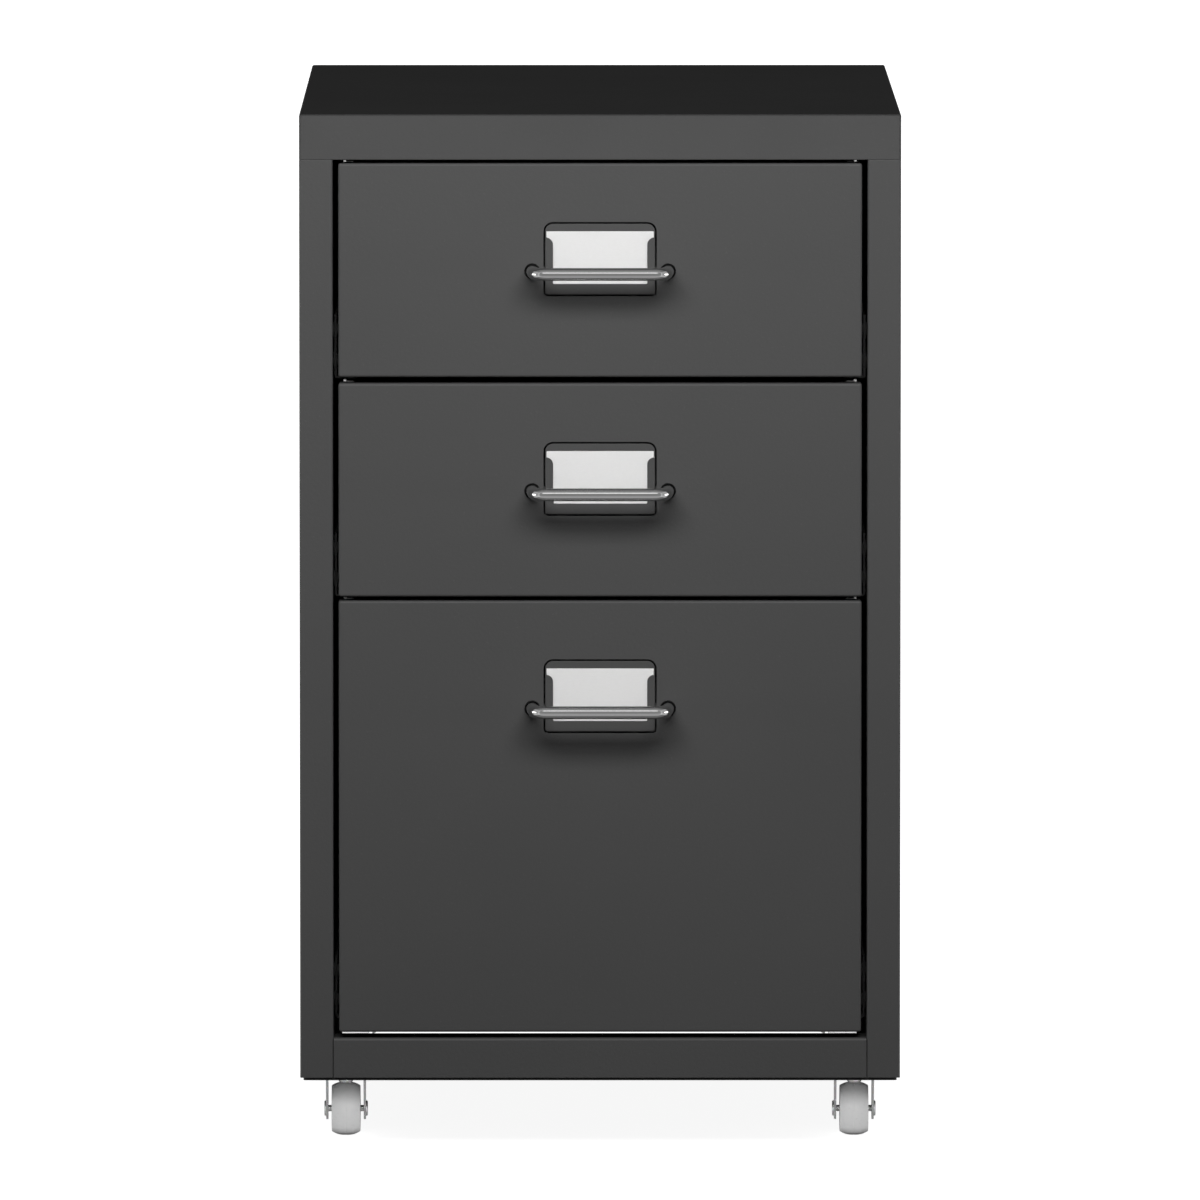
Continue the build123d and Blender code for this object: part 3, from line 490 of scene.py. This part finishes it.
# (across, radius) of the wheel's profile, from its middle plane
TREAD_FLAT = 1.0
SHOULDER = (6.7, 10.75)
RIM_INNER_RADIUS = 9.35
DISH = 5.5
DISH_SLOPE = 0.8
HUB = (6.8, 4.2)
WHEEL_BORE = 1.55
PARTING_LINE = (0.12, 0.07)  # half width and depth of the mould's parting line
RIM_FILLET = 0.35
DISH_FILLET = 0.6
BORE_FILLET = 0.2
CROWN_STEPS = 15
WHEEL_SEGMENTS = 128


def make_wheel(corner, materials):
    """Moulded wheel: crowned tread with a parting line, dished sides, rounded rim and hub."""
    node = f"{corner}_caster_wheel"
    low, high = (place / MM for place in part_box(node))
    radius = (high.z - low.z) / 2
    line_half, line_depth = PARTING_LINE
    right = [Vector((0.0, radius - line_depth)), Vector((line_half, radius - line_depth / 2))]
    right += [Vector((2 * line_half, radius)), Vector((TREAD_FLAT, radius))]
    across = SHOULDER[0] - TREAD_FLAT
    drop = radius - SHOULDER[1]
    crown = (across ** 2 + drop ** 2) / (2 * drop)
    sweep = math.asin(across / crown)
    for step in range(1, CROWN_STEPS):
        angle = sweep * step / CROWN_STEPS
        x = TREAD_FLAT + crown * math.sin(angle)
        right.append(Vector((x, radius - crown * (1 - math.cos(angle)))))
    near = right[-1]
    right += soften([
        (near.x, near.y, 0), (*SHOULDER, RIM_FILLET), (SHOULDER[0], RIM_INNER_RADIUS, RIM_FILLET),
        (DISH, RIM_INNER_RADIUS - DISH_SLOPE, DISH_FILLET), (DISH, HUB[1] + DISH_SLOPE, DISH_FILLET),
        (*HUB, RIM_FILLET), (HUB[0], WHEEL_BORE, BORE_FILLET), (0.0, WHEEL_BORE, 0),
    ])[1:]
    left = [Vector((-x, r)) for x, r in reversed(right[1:-1])]
    centre = (low + high) / 2 * MM
    wheel = lathe(f"{corner}_wheel", right + left, centre, (1, 0, 0), WHEEL_SEGMENTS, looped=True)
    stand_in(wheel, node, materials)


def make_pieces(materials):
    for drawer in DRAWERS:
        make_pull(drawer, materials)
        make_ferrules(drawer, materials)
    for corner in CORNERS:
        make_wheel(corner, materials)


# ---- Camera, floor and lights ----
CAMERA_PLACE = (-0.0151, -8.41455, 0.9434)
CAMERA_PITCH_DOWN = 4.795
CAMERA_YAW_RIGHT = 0.105
CAMERA_LENS = 530.85
FLOOR_SIZE = 120.0
FLOOR_GLOW = 0.92
FLOOR_LIGHT = 1.2
WHITE_BEHIND = 1.1
DOME_LOW = 0.03
DOME_HIGH = 0.12
KEY_SPREAD = 120  # degrees


def make_camera():
    data = bpy.data.cameras.new("camera")
    data.sensor_width = 36.0
    data.lens = CAMERA_LENS
    data.clip_start = 0.5
    data.clip_end = 400.0
    camera = bpy.data.objects.new("camera", data)
    camera.location = CAMERA_PLACE
    pitch = math.radians(90 - CAMERA_PITCH_DOWN)
    camera.rotation_euler = (pitch, 0, math.radians(-CAMERA_YAW_RIGHT))
    bpy.context.scene.collection.objects.link(camera)
    bpy.context.scene.camera = camera


def make_floor():
    """Wide white floor that glows a little, so that only soft contact shadows show on it."""
    mesh = bpy.data.meshes.new("floor")
    shape = bmesh.new()
    bmesh.ops.create_grid(shape, x_segments=8, y_segments=8, size=FLOOR_SIZE)
    shape.to_mesh(mesh)
    shape.free()
    floor = bpy.data.objects.new("floor", mesh)
    bpy.context.scene.collection.objects.link(floor)
    m = Maker("floor_white")
    grain = m.noise(30, detail=3)
    colour = m.blend(grain, grey(0.86), grey(0.90))
    m.finish(colour, 0.8, m.bump(grain, 0.05), specular=0.1)
    m.shader.inputs["Emission Color"].default_value = grey(1.0)
    m.shader.inputs["Emission Strength"].default_value = FLOOR_GLOW
    mesh.materials.append(m.material)
    floor.visible_diffuse = False
    floor.visible_glossy = False
    return floor


def add_light(kind, name, place, target, power, **settings):
    data = bpy.data.lights.new(name, kind)
    data.energy = power
    for key, value in settings.items():
        setattr(data, key, value)
    light = bpy.data.objects.new(name, data)
    light.location = place
    aim = Vector(target) - Vector(place)
    light.rotation_euler = aim.to_track_quat("-Z", "Y").to_euler()
    light.visible_camera = False
    bpy.context.scene.collection.objects.link(light)
    return light


def light_only(light, receivers):
    group = bpy.data.collections.new(light.name + "_receivers")
    for piece in receivers:
        group.objects.link(piece)
    light.light_linking.receiver_collection = group


def make_lights(floor):
    """Soft key from above the front; cap, casters, cards and bright metal have their own lights."""
    shown = [piece for piece in bpy.context.scene.objects if piece.type == "MESH" and piece != floor]
    cap = NODES["top_cap"]
    glides = [NODES[f"{drawer}_drawer_glides"] for drawer in DRAWERS]
    cards = [NODES[f"{drawer}_label_card"] for drawer in DRAWERS]
    trays = [NODES[f"{drawer}_drawer_tray"] for drawer in DRAWERS]
    pulls = [piece for piece in shown if "_pull_wire" in piece.name]
    casters = [piece for piece in shown if "_caster_" in piece.name or piece.name.endswith("_wheel")]
    rear_casters = [piece for piece in casters if piece.name.startswith("rear")]
    zinc = [piece for piece in casters if SLOT_OF.get(piece.name) == "zinc_plated_steel"]
    others = [piece for piece in shown if piece not in casters]
    keyed = [piece for piece in others if piece not in pulls + [cap]]

    def panel(name, receivers, power, size, place, target, **settings):
        width, height = size
        light = add_light(
            "AREA", name, place, target, power,
            shape="RECTANGLE", size=width, size_y=height, **settings,
        )
        light_only(light, receivers)

    front = FACE_Y
    panel(
        "key", keyed, 5.7, (1.2, 0.4), (0, front - 1.0, 0.98), (0, front, 0.45),
        spread=math.radians(KEY_SPREAD),
    )
    panel("cap_light", [cap] + glides, 14.6, (1.2, 0.2), (0, front - 1.6, 0.53), (0, front, 0.46))
    panel("tray_light", trays, 8.0, (1.6, 1.2), (0, front - 0.2, 1.6), (0, front - 0.2, 0))
    panel("pull_line", pulls, 1.2, (1.2, 0.22), (0, front - 1.0, 0.92), (0, front, 0.35))
    panel("pull_wall", pulls + cards, 5.5, (2.4, 2.6), (0, front - 0.8, 0.3), (0, front, 0.3))
    panel("pull_over", pulls, 1.0, (2.4, 0.8), (0, front - 0.4, 1.1), (0, front - 0.4, 0))
    panel("pull_under", pulls, 1.0, (2.4, 0.8), (0, front - 0.4, 0.012), (0, front - 0.4, 1.0))
    panel("zinc_wall", zinc, 8.0, (2.4, 2.6), (0, front - 0.8, 0.3), (0, front, 0.3))
    for side, x in (("left", -1), ("right", 1)):
        near, far = (1.3 * x, front - 0.2, 0.3), (2.6 * x, 0.1, 0.24)
        panel(f"metal_{side}", pulls + zinc, 5.0, (1.8, 2.0), near, (0, front - 0.2, 0.3))
        panel(f"side_{side}", others, 22.0, (2.0, 0.4), far, (0, 0.1, 0.24))
        panel(f"caster_{side}", casters, 5.0, (2.0, 0.4), far, (0, 0.1, 0.02))
    panel("caster_key", casters, 4.4, (1.2, 0.34), (0, front - 1.1, 0.53), (0, front, 0.015))
    panel("caster_low", casters, 2.0, (1.2, 0.05), (0, front - 0.9, 0.03), (0, 0.2, 0.012))
    panel("caster_floor", casters, 7.2, (2.4, 2.4), (0, 0, 0.0005), (0, 0, 1.0))
    panel("rear_low", rear_casters, 9.0, (1.2, 0.05), (0, front - 0.7, 0.03), (0, 0.2, 0.012))
    panel("back", others, 22.0, (2.0, 0.4), (0, 2.9, 0.24), (0, 0, 0.24))
    panel("caster_back", casters, 5.0, (2.0, 0.4), (0, 2.9, 0.24), (0, 0, 0.02))
    sky = add_light("SUN", "floor_light", (0, 0, 6), (0, 0, 0), FLOOR_LIGHT, angle=math.radians(80))
    light_only(sky, [floor])


def make_world():
    """White for the camera; a dim grey dome, brighter overhead, for everything else."""
    world = bpy.data.worlds.new("studio")
    bpy.context.scene.world = world
    world.use_nodes = True
    tree = world.node_tree
    output = tree.nodes["World Output"]
    dome = tree.nodes["Background"]
    coordinates = tree.nodes.new("ShaderNodeTexCoord")
    split = tree.nodes.new("ShaderNodeSeparateXYZ")
    height = tree.nodes.new("ShaderNodeMapRange")
    height.inputs["To Min"].default_value = DOME_LOW
    height.inputs["To Max"].default_value = DOME_HIGH
    white = tree.nodes.new("ShaderNodeBackground")
    white.inputs["Strength"].default_value = WHITE_BEHIND
    path = tree.nodes.new("ShaderNodeLightPath")
    mix = tree.nodes.new("ShaderNodeMixShader")
    tree.links.new(coordinates.outputs["Generated"], split.inputs[0])
    tree.links.new(split.outputs["Z"], height.inputs["Value"])
    tree.links.new(height.outputs["Result"], dome.inputs["Strength"])
    tree.links.new(path.outputs["Is Camera Ray"], mix.inputs["Fac"])
    tree.links.new(dome.outputs[0], mix.inputs[1])
    tree.links.new(white.outputs[0], mix.inputs[2])
    tree.links.new(mix.outputs[0], output.inputs["Surface"])
    dome.inputs["Color"].default_value = grey(1.0)
    white.inputs["Color"].default_value = grey(1.0)


bpy.context.scene.view_settings.view_transform = "Standard"
make_camera()
make_world()
materials = make_materials()
paint_cad_nodes(materials)
make_pieces(materials)
make_lights(make_floor())
